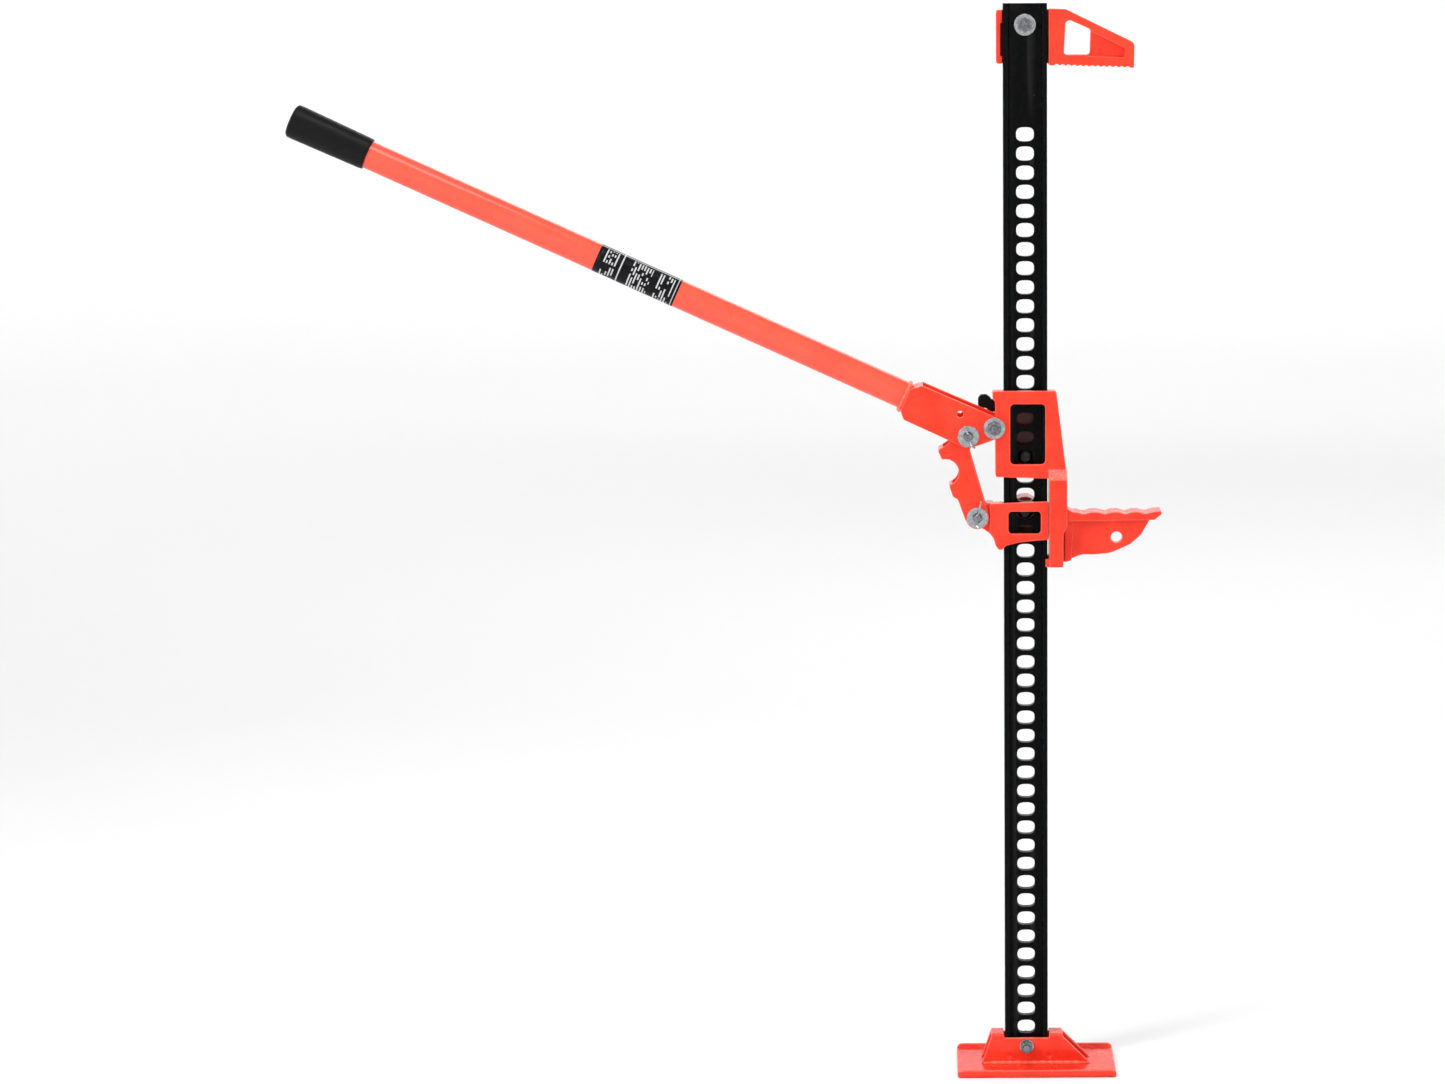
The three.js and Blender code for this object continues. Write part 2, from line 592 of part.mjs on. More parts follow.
// Headed pin kept by a split pin on the -Y side.
function clevisPin(half) {
  const head = half + WASHER + 2 * GAP;
  const tip = -half - WASHER - 6.5;
  const body = turned([
    [0, tip], [PIN_RADIUS - 0.8, tip], [PIN_RADIUS, tip + 0.8], [PIN_RADIUS, head], [8, head],
    [8, head + 2.6], [7, head + 3.6], [0, head + 3.6],
  ]);
  return body.subtract(splitHole(half));
}

const splitY = (half) => -half - WASHER - 3;
const splitHole = (half) => solid(new THREE.CylinderGeometry(1.7, 1.7, 30, 16)
  .rotateX(Math.PI / 2).translate(0, splitY(half), 0));

function splitPin(half, above = 13.6, below = 14.5) {
  const y = splitY(half);
  const out = -1.6;
  return wire([
    [0, y, above], [0, y, above - 3], [0, y, 8], [0, y, 0], [0, y, -8], [0.4, y + out, 3.6 - below],
    [3, y + out * 1.5, -below],
  ], 1.1, 28, 8);
}

// ---------------------------------------------------------------- assembly
piece('base_plate', footPlate(), redPaint);
piece('base_socket', footSocket(), redPaint);
const footBolt = [0, 0, FOOT_BOLT_Z];
piece('base_bolt', bolt(-SOCKET_OUTER, SOCKET_OUTER, 13), zinc, jack, footBolt);
piece('base_washer_front', washer(-SOCKET_OUTER, -1, 8.3), zinc, jack, footBolt);
piece('base_washer_back', washer(SOCKET_OUTER, 1, 8.3), zinc, jack, footBolt);
piece('base_nut', nut(-SOCKET_OUTER, 13), zinc, jack, footBolt);

piece('rack_bar', rackBar(), blackPaint);
piece('top_clamp', topClamp(), redPaint);
const topBolt = [0, 0, TOP_BOLT_Z];
piece('top_bolt', bolt(-WEB / 2, CLAMP_HALF + 5), zinc, jack, topBolt);
piece('top_washer_front', washer(-WEB / 2, -1), zinc, jack, topBolt);
piece('top_washer_back', washer(CLAMP_HALF + 5, 1), zinc, jack, topBolt);
piece('top_nut', nut(-WEB / 2), zinc, jack, topBolt);

piece('large_runner', largeRunner(), redPaint);
const pivotA = [A.x, 0, A.z];
piece('pivot_bolt', bolt(-CHEEK_OUTER, CHEEK_OUTER), zinc, jack, pivotA);
piece('pivot_washer_front', washer(-CHEEK_OUTER, -1), zinc, jack, pivotA);
piece('pivot_washer_back', washer(CHEEK_OUTER, 1), zinc, jack, pivotA);
piece('pivot_nut', nut(-CHEEK_OUTER), zinc, jack, pivotA);

piece('small_runner', smallRunner(), redPaint);

// the lower pin rests just clear of the web, the upper one is in its hole
const CLEAR_OF_WEB = 12.2;
for (const [name, z, back] of [['upper', UPPER_PIN_Z, 0], ['lower', LOWER_PIN_Z, CLEAR_OF_WEB]]) {
  piece(`climbing_pin_${name}`, climbingPin(), steel, jack, [0, back, z]);
  piece(`cross_pin_${name}`, crossPin(), zinc, jack, [0, back, z]);
  piece(`pin_spring_${name}`, pinSpring(back), steel, jack, [0, 0, z]);
}

const latch = [LATCH.x, 0, LATCH.z];
piece('reversing_latch', latchLever(), blackPaint, jack, latch);
piece('latch_knob', latchKnob(), blackVinyl, jack, latch);
piece('latch_bolt', smallBolt(), zinc, jack, latch);

const handle = new THREE.Group();
handle.position.set(A.x, 0, A.z);
handle.rotation.y = THREE.MathUtils.degToRad(HANDLE_ANGLE);
jack.add(handle);
piece('handle_socket', handleSocket(), redPaint, handle);
piece('handle_tube', handleTube(), redPaint, handle);
piece('handle_grip', handleGrip(), blackVinyl, handle);
const pinB = [B_IN_HANDLE.x, 0, B_IN_HANDLE.z];
const splitTurnB = THREE.MathUtils.degToRad(-44);
piece('link_pin_upper', clevisPin(CHEEK_OUTER), zinc, handle, pinB).rotation.y = splitTurnB;
piece('link_washer_upper_front', washer(-CHEEK_OUTER, -1), zinc, handle, pinB);
piece('link_washer_upper_back', washer(CHEEK_OUTER, 1), zinc, handle, pinB);
piece('split_pin_upper', splitPin(CHEEK_OUTER), zinc, handle, pinB).rotation.y = splitTurnB;

piece('pitman', pitman(), redPaint);
const pinC = [C.x, 0, C.z];
const splitTurnC = THREE.MathUtils.degToRad(12);
piece('link_pin_lower', clevisPin(LINK_HALF), zinc, jack, pinC).rotation.y = splitTurnC;
piece('link_washer_lower_front', washer(-LINK_HALF, -1), zinc, jack, pinC);
piece('link_washer_lower_back', washer(LINK_HALF, 1), zinc, jack, pinC);
piece('split_pin_lower', splitPin(LINK_HALF, 20, 11), zinc, jack, pinC).rotation.y = splitTurnC;

export default jack;
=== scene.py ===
"""Looks of the farm jack: cast and folded enamel parts, zinc hardware, vinyl grip, soft studio."""
import json
import math
import random

import bmesh
import bpy
from mathutils import Matrix, Vector


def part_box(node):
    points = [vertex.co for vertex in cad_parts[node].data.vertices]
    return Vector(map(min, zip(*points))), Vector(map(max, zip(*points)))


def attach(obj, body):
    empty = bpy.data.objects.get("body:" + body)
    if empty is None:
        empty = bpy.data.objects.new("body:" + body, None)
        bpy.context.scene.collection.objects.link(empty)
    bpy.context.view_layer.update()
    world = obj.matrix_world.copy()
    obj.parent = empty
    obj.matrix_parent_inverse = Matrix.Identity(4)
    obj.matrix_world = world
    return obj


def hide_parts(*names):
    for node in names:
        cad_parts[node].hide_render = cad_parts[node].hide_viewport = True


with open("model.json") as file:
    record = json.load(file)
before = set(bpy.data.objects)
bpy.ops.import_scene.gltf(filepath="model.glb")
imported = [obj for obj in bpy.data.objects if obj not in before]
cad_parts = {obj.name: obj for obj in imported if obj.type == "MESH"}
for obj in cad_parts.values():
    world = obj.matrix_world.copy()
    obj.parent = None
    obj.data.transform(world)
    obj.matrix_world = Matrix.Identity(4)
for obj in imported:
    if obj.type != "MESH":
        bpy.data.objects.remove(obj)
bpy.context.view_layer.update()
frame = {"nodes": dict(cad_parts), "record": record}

NODES = frame["nodes"]
BEHAVIOUR = frame["record"]["behaviour"]
MM = 0.001

# The handle, seen from its pivot bolt. The tube's axis runs parallel to the line out of the pivot.
HANDLE_PIVOT = next(Vector(joint["pos_m"]) for joint in BEHAVIOUR["joints"] if joint["name"] == "handle_pump")
HANDLE_ANGLE = math.radians(24.6)
HANDLE_OUT = Vector((-math.cos(HANDLE_ANGLE), 0, math.sin(HANDLE_ANGLE)))
HANDLE_UP = Vector((math.sin(HANDLE_ANGLE), 0, math.cos(HANDLE_ANGLE)))
ACROSS = Vector((0, 1, 0))
TUBE_DROP = 0.010
TUBE_RADIUS = 0.016
SOCKET_LENGTH = 0.1062


# ------------------------------------------------------------------ mesh helpers
def body_of(node):
    """The body of the record that a CAD node belongs to."""
    return next(body for body, members in BEHAVIOUR["bodies"].items() if node in members)


def add_object(name, mesh, body, material, replaced=()):
    """Links a finished mesh, rides it on its body and gives it its material."""
    piece = bpy.data.objects.new(name, mesh)
    bpy.context.scene.collection.objects.link(piece)
    mesh.materials.clear()
    mesh.materials.append(material)
    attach(piece, body)
    if replaced:
        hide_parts(*replaced)
    return piece


def shade_smooth(mesh):
    mesh.polygons.foreach_set("use_smooth", [True] * len(mesh.polygons))


def evaluated_mesh(source, *modifiers):
    """The mesh of a copy of source after modifiers, given as (type, settings)."""
    copy = source.copy()
    copy.data = source.data.copy()
    bpy.context.scene.collection.objects.link(copy)
    for kind, settings in modifiers:
        modifier = copy.modifiers.new(kind.lower(), kind)
        for key, value in settings.items():
            setattr(modifier, key, value)
    bpy.context.view_layer.update()
    graph = bpy.context.evaluated_depsgraph_get()
    mesh = bpy.data.meshes.new_from_object(copy.evaluated_get(graph))
    data = copy.data
    bpy.data.objects.remove(copy)
    bpy.data.meshes.remove(data)
    return mesh


def remeshed(source, voxel_mm, rounding, *first):
    """Source with its edges and inner corners rounded, as paint, casting and moulding do."""
    remesh = ("REMESH", {"mode": "VOXEL", "voxel_size": voxel_mm * MM})
    smooth = ("SMOOTH", {"factor": 0.5, "iterations": rounding})
    mesh = evaluated_mesh(source, *first, remesh, smooth)
    shade_smooth(mesh)
    return mesh


WELD_DISTANCE = 0.00001


def refined(node, voxel_mm, rounding, material):
    """Stands for an enamelled CAD node, at the same size with rounded edges."""
    weld = ("WELD", {"merge_threshold": WELD_DISTANCE})
    mesh = remeshed(NODES[node], voxel_mm, rounding, weld)
    add_object(node + "_finished", mesh, body_of(node), material, [node])


def finish_node(node, material, bevel_mm):
    """Gives a CAD node its material, rounded edges and smooth shading."""
    shown = NODES[node]
    shown.data.materials.clear()
    shown.data.materials.append(material)
    weld = shown.modifiers.new("weld", "WELD")
    weld.merge_threshold = WELD_DISTANCE
    planar = shown.modifiers.new("planar", "DECIMATE")
    planar.decimate_type = "DISSOLVE"
    planar.angle_limit = math.radians(1)
    bevel = shown.modifiers.new("edge", "BEVEL")
    bevel.width = bevel_mm * MM
    bevel.segments = 3
    bevel.limit_method = "ANGLE"
    bevel.angle_limit = math.radians(32)
    bevel.harden_normals = False
    smooth = shown.modifiers.new("normals", "WEIGHTED_NORMAL")
    smooth.keep_sharp = True
    shade_smooth(shown.data)


def ring_of(build, count, place_of):
    """New vertices round a closed ring; place_of(turn) gives each one's place."""
    return [build.verts.new(place_of(2 * math.pi * i / count)) for i in range(count)]


def join_rings(build, rings, inward=False):
    """Faces between each closed ring of vertices and the next."""
    for lower, upper in zip(rings, rings[1:]):
        for i in range(len(lower)):
            after = (i + 1) % len(lower)
            corners = (lower[i], lower[after], upper[after], upper[i])
            build.faces.new(corners[::-1] if inward else corners)


def close_ends(build, rings):
    build.faces.new(list(reversed(rings[0])))
    build.faces.new(rings[-1])


def finished_mesh(build, name, outward=True):
    """Turns the mesh being built into mesh data, by default with its faces outward."""
    if outward:
        bmesh.ops.recalc_face_normals(build, faces=build.faces)
    data = bpy.data.meshes.new(name)
    build.to_mesh(data)
    build.free()
    return data


# ------------------------------------------------------------------ material helpers
class Finish:
    """A Principled material built node by node in object coordinates, in metres."""

    def __init__(self, name, colour, roughness, metallic=0.0, **sockets):
        self.material = bpy.data.materials.new(name)
        self.material.use_nodes = True
        self.tree = self.material.node_tree
        self.shader = self.tree.nodes["Principled BSDF"]
        self.set("Base Color", (*colour, 1.0))
        self.set("Roughness", roughness)
        self.set("Metallic", metallic)
        for socket, value in sockets.items():
            self.set(socket.replace("_", " "), value)
        self.place = self.node("TexCoord").outputs["Object"]

    def set(self, socket, value):
        self.shader.inputs[socket].default_value = value

    def connect(self, socket, source):
        self.tree.links.new(source, self.shader.inputs[socket])

    def node(self, kind, settings=None, **links):
        """A new node; settings are its inputs or properties, links its linked inputs."""
        made = self.tree.nodes.new("ShaderNode" + kind)
        for key, value in (settings or {}).items():
            if key in made.inputs.keys():
                made.inputs[key].default_value = value
            else:
                setattr(made, key, value)
        for socket, source in links.items():
            self.tree.links.new(source, made.inputs[socket])
        return made

    def noise(self, size_mm, detail=3.0, roughness=0.5, stretch=(1, 1, 1)):
        """Noise whose features are about size_mm across."""
        place = self.node("Mapping", {"Scale": stretch}, Vector=self.place).outputs[0]
        settings = {"Scale": 1.0 / (size_mm * MM), "Detail": detail, "Roughness": roughness}
        return self.node("TexNoise", settings, Vector=place).outputs["Fac"]

    def ramp(self, source, low, high, black=0.0, white=1.0):
        """Maps source from low..high to black..white, clamped."""
        settings = {"From Min": low, "From Max": high, "To Min": black, "To Max": white}
        return self.node("MapRange", settings, Value=source).outputs[0]

    def uneven_gloss(self, size_mm, detail, smoothest, roughest):
        """Lets the roughness wander between two values."""
        wander = self.noise(size_mm, detail)
        self.connect("Roughness", self.ramp(wander, 0.3, 0.7, smoothest, roughest))

    def blend(self, amount, first, second):
        """Mixes two colours, each an RGB triple or a socket."""
        mix = self.node("Mix", {"data_type": "RGBA"})
        self.tree.links.new(amount, mix.inputs[0])
        for index, colour in ((6, first), (7, second)):
            if isinstance(colour, tuple):
                mix.inputs[index].default_value = (*colour, 1.0)
            else:
                self.tree.links.new(colour, mix.inputs[index])
        return mix.outputs[2]

    def math(self, operation, first, second=None):
        made = self.node("Math", {"operation": operation})
        for index, value in enumerate((first, second)):
            if value is None:
                continue
            if isinstance(value, (int, float)):
                made.inputs[index].default_value = value
            else:
                self.tree.links.new(value, made.inputs[index])
        return made.outputs[0]

    def product(self, first, *others):
        for other in others:
            first = self.math("MULTIPLY", first, other)
        return first

    def bump(self, *layers):
        """Stacks bumps, each (height socket, depth in mm)."""
        normal = None
        for height, depth_mm in layers:
            made = self.node("Bump", {"Strength": 1.0, "Distance": depth_mm * MM}, Height=height)
            if normal is not None:
                self.tree.links.new(normal, made.inputs["Normal"])
            normal = made.outputs[0]
        self.connect("Normal", normal)

    def pointiness(self):
        """Above a half along outer edges, below it in inner corners."""
        return self.node("NewGeometry").outputs["Pointiness"]

    def edges(self, low, high):
        """White along outer edges."""
        return self.ramp(self.pointiness(), low, high)

    def corners(self, low, high, most=1.0):
        """White, up to most, in inner corners."""
        return self.ramp(self.pointiness(), low, high, most, 0.0)

    def box(self, corners, soft):
        """White inside a box given by two corners, in metres."""
        axes = self.node("SeparateXYZ", Vector=self.place).outputs
        masks = []
        for axis, low, high in zip(axes, *corners):
            masks.append(self.ramp(axis, low - soft, low))
            masks.append(self.ramp(axis, high, high + soft, 1.0, 0.0))
        return self.product(*masks)


# ------------------------------------------------------------------ materials
RED = (0.90, 0.046, 0.020)
RED_DEEP = (0.74, 0.030, 0.012)
# pale red for outer edges: thin paint, with a painted highlight
RED_THIN_AND_HIGHLIGHT = (1.0, 0.17, 0.11)
# painted shade for inner corners
RED_CORNER_SHADE = (0.30, 0.012, 0.006)
# painted highlight on the runner's leg
RED_LEG_HIGHLIGHT = (1.0, 0.42, 0.34)
PRIMER = (0.10, 0.035, 0.03)
# painted shade inside the runners' channel, where the bar runs
CHANNEL_SHADE = (0.012, 0.004, 0.003)
BLACK_PAINT = (0.0022, 0.0024, 0.0027)
BLACK_DUSTY = (0.0045, 0.0045, 0.0045)
BLACK_WORN = (0.012, 0.012, 0.013)
BLACK_SPECK = (0.10, 0.10, 0.10)
# darker zinc for inner corners
ZINC_CORNER_DARK = (0.03, 0.03, 0.033)
STEEL_GREY = (0.034, 0.034, 0.034)
STEEL_STAIN = (0.018, 0.015, 0.013)
VINYL_BLACK = (0.004, 0.004, 0.0045)
VINYL_SCUFF = (0.011, 0.011, 0.011)
VINYL_EDGE = (0.016, 0.016, 0.017)
FILM_BLACK = (0.004, 0.004, 0.005)
FILM_PRINT = (0.50, 0.50, 0.51)
PAPER = (0.93, 0.93, 0.93)


def enamel_colour(paint):
    """Orange-red in clouds and runs, with painted shade in corners, pale on edges from thin paint and a
    painted highlight, and chipped on edges.
    """
    clouds = paint.ramp(paint.noise(38, detail=4), 0.35, 0.65)
    runs = paint.ramp(paint.noise(7, 4, 0.6, stretch=(1, 1, 0.35)), 0.56, 0.72, 0.0, 0.6)
    chips = paint.math("GREATER_THAN", paint.noise(2.2, 5, 0.7), 0.69)
    body = paint.blend(clouds, RED, RED_DEEP)
    body = paint.blend(runs, body, RED_DEEP)
    # painted shade in inner corners
    body = paint.blend(paint.corners(0.40, 0.485, most=0.85), body, RED_CORNER_SHADE)
    # pale edges: thin paint, with a painted highlight
    body = paint.blend(paint.edges(0.515, 0.57), body, RED_THIN_AND_HIGHLIGHT)
    return paint.blend(paint.product(chips, paint.edges(0.58, 0.64)), body, PRIMER)


def red_enamel(name, grain_mm=1.3, grain_depth=0.10, peel_depth=0.14, highlight_box=None, shaded_channel=None):
    """Gloss orange-red paint over a more or less rough base.

    The first box is where a streaked highlight is painted, and the second the box inside
    which the bar runs, where shade is painted: each is two corners, in metres."""
    paint = Finish(name, RED, 0.25, Coat_Weight=0.3, Coat_Roughness=0.06, Specular_IOR_Level=0.1)
    body = enamel_colour(paint)
    layers = [(paint.noise(4.5, 2), peel_depth), (paint.noise(grain_mm, 3, 0.6), grain_depth)]
    # a streaked highlight painted on the leg's band, with a streaked bump
    if highlight_box:
        marks = paint.noise(1.5, 4, 0.75, stretch=(1.6, 1, 1))
        patch = paint.box(highlight_box, soft=0.0016)
        highlight_strength = paint.ramp(marks, 0.40, 0.66, 0.12, 0.62)
        body = paint.blend(paint.product(highlight_strength, patch), body, RED_LEG_HIGHLIGHT)
        layers.append((paint.product(marks, patch), 0.6))
    # painted shade on the faces inside the channel where the bar runs
    if shaded_channel:
        shade_amount = paint.ramp(paint.noise(9, 4), 0.3, 0.7, 0.82, 0.97)
        body = paint.blend(paint.product(shade_amount, paint.box(shaded_channel, soft=0.0006)), body, CHANNEL_SHADE)
    paint.connect("Base Color", body)
    paint.uneven_gloss(9, 3, 0.22, 0.38)
    paint.bump(*layers)
    return paint.material


def black_enamel():
    paint = Finish("black_enamel", BLACK_PAINT, 0.3, Specular_IOR_Level=0.04)
    dust = paint.ramp(paint.noise(60, 6, 0.65), 0.45, 0.75, 0.0, 0.35)
    specks = paint.math("GREATER_THAN", paint.noise(3.0, 2), 0.80)
    body = paint.blend(paint.edges(0.53, 0.60), BLACK_PAINT, BLACK_WORN)
    body = paint.blend(dust, body, BLACK_DUSTY)
    paint.connect("Base Color", paint.blend(specks, body, BLACK_SPECK))
    paint.uneven_gloss(14, 4, 0.20, 0.36)
    paint.bump((paint.noise(5, 2), 0.05), (paint.noise(1.2, 3, 0.6), 0.012))
    return paint.material


def zinc_plate(name, bright, dull):
    metal = Finish(name, bright, 0.3, metallic=1.0)
    bloom = metal.ramp(metal.noise(4, 5, 0.65), 0.35, 0.7)
    body = metal.blend(bloom, bright, dull)
    # darker in inner corners
    metal.connect("Base Color", metal.blend(metal.corners(0.40, 0.49), body, ZINC_CORNER_DARK))
    metal.uneven_gloss(2.5, 4, 0.18, 0.42)
    metal.bump((metal.noise(0.9, 3, 0.6), 0.03))
    return metal.material


def bare_steel():
    """Oiled steel with drawing marks along the pins, whose axes are Y."""
    metal = Finish("pin_steel", STEEL_GREY, 0.38, metallic=1.0)
    stain = metal.ramp(metal.noise(6, 5, 0.65), 0.4, 0.7)
    metal.connect("Base Color", metal.blend(stain, STEEL_GREY, STEEL_STAIN))
    metal.uneven_gloss(3, 3, 0.30, 0.52)
    metal.bump((metal.noise(0.7, 2, stretch=(1, 0.1, 1)), 0.015))
    return metal.material


def black_vinyl():
    skin = Finish("black_vinyl", VINYL_BLACK, 0.5, Specular_IOR_Level=0.12)
    scuff = skin.ramp(skin.noise(7, 6, 0.7), 0.55, 0.8)
    body = skin.blend(scuff, VINYL_BLACK, VINYL_SCUFF)
    skin.connect("Base Color", skin.blend(skin.edges(0.53, 0.60), body, VINYL_EDGE))
    skin.uneven_gloss(4, 4, 0.36, 0.56)
    skin.bump((skin.noise(3.5, 3), 0.10), (skin.noise(0.6, 2), 0.04))
    return skin.material


# The label's layout, as parts of its length and of its turn round the tube.
PRINT_LINES, PRINT_WORDS = 30.0, 26.0
PRINT_COLUMNS = ((0.08, 0.24), (0.40, 0.66), (0.74, 0.93))
PRINT_HEIGHT = (0.22, 0.71)
RULES_ALONG = ((0.285, 0.30), (0.965, 0.975))
RULE_AROUND = (0.735, 0.750)
WORD_GAPS = 0.35


def label_film():
    """Black film with plain bars and rules in place of print."""
    skin = Finish("label_film", FILM_BLACK, 0.35, Specular_IOR_Level=0.12)
    along, around, _ = skin.node("SeparateXYZ", Vector=skin.node("UVMap").outputs[0]).outputs
    line = skin.math("MULTIPLY", along, PRINT_LINES)
    word = skin.math("MULTIPLY", around, PRINT_WORDS)

    def band(value, span):
        low, high = span
        return skin.product(skin.math("GREATER_THAN", value, low), skin.math("LESS_THAN", value, high))

    def either(first, *others):
        for other in others:
            first = skin.math("MAXIMUM", first, other)
        return first

    cell = skin.node("CombineXYZ", X=skin.math("FLOOR", line), Y=skin.math("FLOOR", word)).outputs[0]
    chance = skin.node("TexWhiteNoise", {"noise_dimensions": "2D"}, Vector=cell).outputs["Value"]
    inked = skin.math("GREATER_THAN", chance, WORD_GAPS)
    rows = skin.math("GREATER_THAN", skin.math("FRACT", line), 0.5)
    columns = either(*(band(along, span) for span in PRINT_COLUMNS))
    text = skin.product(rows, inked, columns, band(around, PRINT_HEIGHT))
    rules = either(band(around, RULE_AROUND), *(band(along, span) for span in RULES_ALONG))
    skin.connect("Base Color", skin.blend(either(text, rules), FILM_BLACK, FILM_PRINT))
    skin.uneven_gloss(6, 3, 0.28, 0.42)
    skin.bump((skin.noise(3, 2), 0.02))
    return skin.material


# The band on the runner's leg where a highlight is painted, streaked, on its front and right faces.
LEG_LEFT = 0.0266
HIGHLIGHT_DEPTH = -0.0185
HIGHLIGHT_BELOW_TOP = 0.0905
HIGHLIGHT_HEIGHT = 0.0105
CHANNEL_MARGIN = 0.0018


def highlight_band():
    low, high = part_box("large_runner")
    top = high[2] - HIGHLIGHT_BELOW_TOP
    return (LEG_LEFT, low[1] - 1, top - HIGHLIGHT_HEIGHT), (1, HIGHLIGHT_DEPTH, top)


def bar_channel():
    """The bar's box with a margin, which takes in the faces that it runs on, where shade is painted."""
    low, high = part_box("rack_bar")
    return tuple(v - CHANNEL_MARGIN for v in low), tuple(v + CHANNEL_MARGIN for v in high)


CAST_RED = red_enamel("red_enamel_cast", shaded_channel=bar_channel())
RUNNER_RED = red_enamel("red_enamel_runner", highlight_box=highlight_band(), shaded_channel=bar_channel())
CLAMP_RED = red_enamel("red_enamel_clamp")
SHEET_RED = red_enamel("red_enamel_sheet", grain_mm=0.9, grain_depth=0.03, peel_depth=0.10)
BLACK = black_enamel()
ZINC = zinc_plate("zinc_plate", bright=(0.46, 0.48, 0.51), dull=(0.24, 0.25, 0.26))
NUT_ZINC = zinc_plate("zinc_nut", bright=(0.28, 0.29, 0.31), dull=(0.10, 0.10, 0.11))
STEEL = bare_steel()
VINYL = black_vinyl()


# ------------------------------------------------------------------ the jack
def castings():
    refined("large_runner", 0.9, 4, RUNNER_RED)
    refined("small_runner", 0.8, 4, CAST_RED)
    refined("top_clamp", 0.7, 3, CLAMP_RED)


def folded_sheet():
    for node in ("pitman", "handle_socket", "base_socket"):
        refined(node, 0.7, 2, SHEET_RED)
    refined("base_plate", 0.9, 2, SHEET_RED)


def plain_nodes():
    finish_node("rack_bar", BLACK, 0.5)
    finish_node("handle_tube", SHEET_RED, 0.4)
    finish_node("handle_grip", VINYL, 0.8)
    finish_node("reversing_latch", BLACK, 0.5)
    for node in NODES:
        if node.startswith(("climbing_pin", "pin_spring")):
            finish_node(node, STEEL, 0.3)
        elif node.endswith(("_bolt", "_nut")) or node.startswith("link_pin"):
            finish_node(node, NUT_ZINC, 0.3)
        elif any(word in node for word in ("washer", "split_pin", "cross_pin")):
            finish_node(node, ZINC, 0.3)


# The grip's outline, as parts of its width and height.
GRIP_OUTLINE = ((1.0, 0.0), (0.66, 0.03), (0.42, 0.24), (0.10, 0.22), (0.0, 0.42), (0.0, 0.78),
                (0.14, 0.98), (0.44, 1.0), (0.66, 0.84), (0.76, 0.66), (1.0, 0.62))
GRIP_SET_BACK = 0.0003


def latch_grip():
    """The latch's dipped finger grip, a soft S in one piece over the end of the lever."""
    low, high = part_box("latch_knob")
    wide, tall = high[0] - low[0], high[2] - low[2]
    build = bmesh.new()
    rings = [[build.verts.new((low[0] + wide * u, y, low[2] + tall * v)) for u, v in GRIP_OUTLINE]
             for y in (low[1] + GRIP_SET_BACK, high[1])]
    join_rings(build, rings)
    close_ends(build, rings)
    rough = bpy.data.objects.new("latch_grip_rough", finished_mesh(build, "latch_grip"))
    bpy.context.scene.collection.objects.link(rough)
    moulded = remeshed(rough, 0.6, 14)
    bpy.data.objects.remove(rough)
    add_object("latch_grip", moulded, "latch", VINYL, ["latch_knob"])


# ------------------------------------------------------------------ weld beads
BEAD_SIDES = 10
BEAD_RIPPLE = 0.07
BEAD_RIPPLE_STEP = 0.9
BEAD_JITTER = (0.94, 1.04)
BEAD_END = 0.35
BEAD_END_SLOPE = 6
BEAD_SKEW = Vector((0.02, 1, 0.03))     # never parallel to a bead's path


def weld_bead(name, path, radius, body, seed):
    """A rippled fillet of weld along a path, thinner at its ends and painted over."""
    chance = random.Random(seed)
    jitter = [chance.uniform(*BEAD_JITTER) for _ in path]
    last = len(path) - 1
    build = bmesh.new()
    rings = []
    for index, point in enumerate(path):
        along = (path[min(index + 1, last)] - path[max(index - 1, 0)]).normalized()
        across = along.cross(BEAD_SKEW).normalized()
        other = along.cross(across)
        end = min(1.0, BEAD_END + BEAD_END_SLOPE * min(index, last - index) / last)
        ripple = 1 + BEAD_RIPPLE * math.sin(index * BEAD_RIPPLE_STEP)
        size = radius * end * jitter[index] * ripple
        rings.append(ring_of(build, BEAD_SIDES, lambda turn: point + size * (
            across * math.cos(turn) + other * math.sin(turn))))
    join_rings(build, rings)
    close_ends(build, rings)
    mesh = finished_mesh(build, "bead")
    shade_smooth(mesh)
    add_object(name, mesh, body, SHEET_RED)


def foot_welds():
    """A bead along the front and the back of the bracket, where it stands on the plate."""
    low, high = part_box("base_socket")
    inset, out, rise, radius, steps = 0.002, 0.0006, 0.0008, 0.0024, 90
    span = high[0] - low[0] - 2 * inset
    for side, y, seed in (("front", low[1] - out, 3), ("back", high[1] + out, 4)):
        path = [Vector((low[0] + inset + span * i / steps, y, low[2] + rise)) for i in range(steps + 1)]
        weld_bead("foot_weld_" + side, path, radius, "foot", seed)


def tube_point(distance, turn, radius):
    """A point round the tube, at a distance from the pivot; a turn of 0 is its upper side."""
    spoke = HANDLE_UP * math.cos(turn) + ACROSS * math.sin(turn)
    return HANDLE_PIVOT + HANDLE_OUT * distance - HANDLE_UP * TUBE_DROP + spoke * radius


def socket_weld():
    """The ring of weld where the tube enters the folded socket."""
    lift, radius, steps = 0.0008, 0.0031, 96
    path = [tube_point(SOCKET_LENGTH, 2 * math.pi * i / steps, TUBE_RADIUS + lift) for i in range(steps + 1)]
    weld_bead("socket_weld", path, radius, "handle", 7)


# ------------------------------------------------------------------ label and threads
LABEL_NEAR, LABEL_FAR = 0.3890, 0.4877
LABEL_COLUMNS, LABEL_SIDES = 20, 32
LABEL_FRONT = math.radians(-90)
LABEL_HALF_TURN = math.radians(150)
LABEL_OUTSIDE = TUBE_RADIUS + 0.00025
LABEL_THICKNESS = 0.0002


def label_place(column, side, radius):
    """A point of the label, which is wrapped round the tube from the front to both sides."""
    distance = LABEL_NEAR + (LABEL_FAR - LABEL_NEAR) * column / LABEL_COLUMNS
    turn = LABEL_FRONT + LABEL_HALF_TURN * (2 * side / LABEL_SIDES - 1)
    return tube_point(distance, turn, radius)


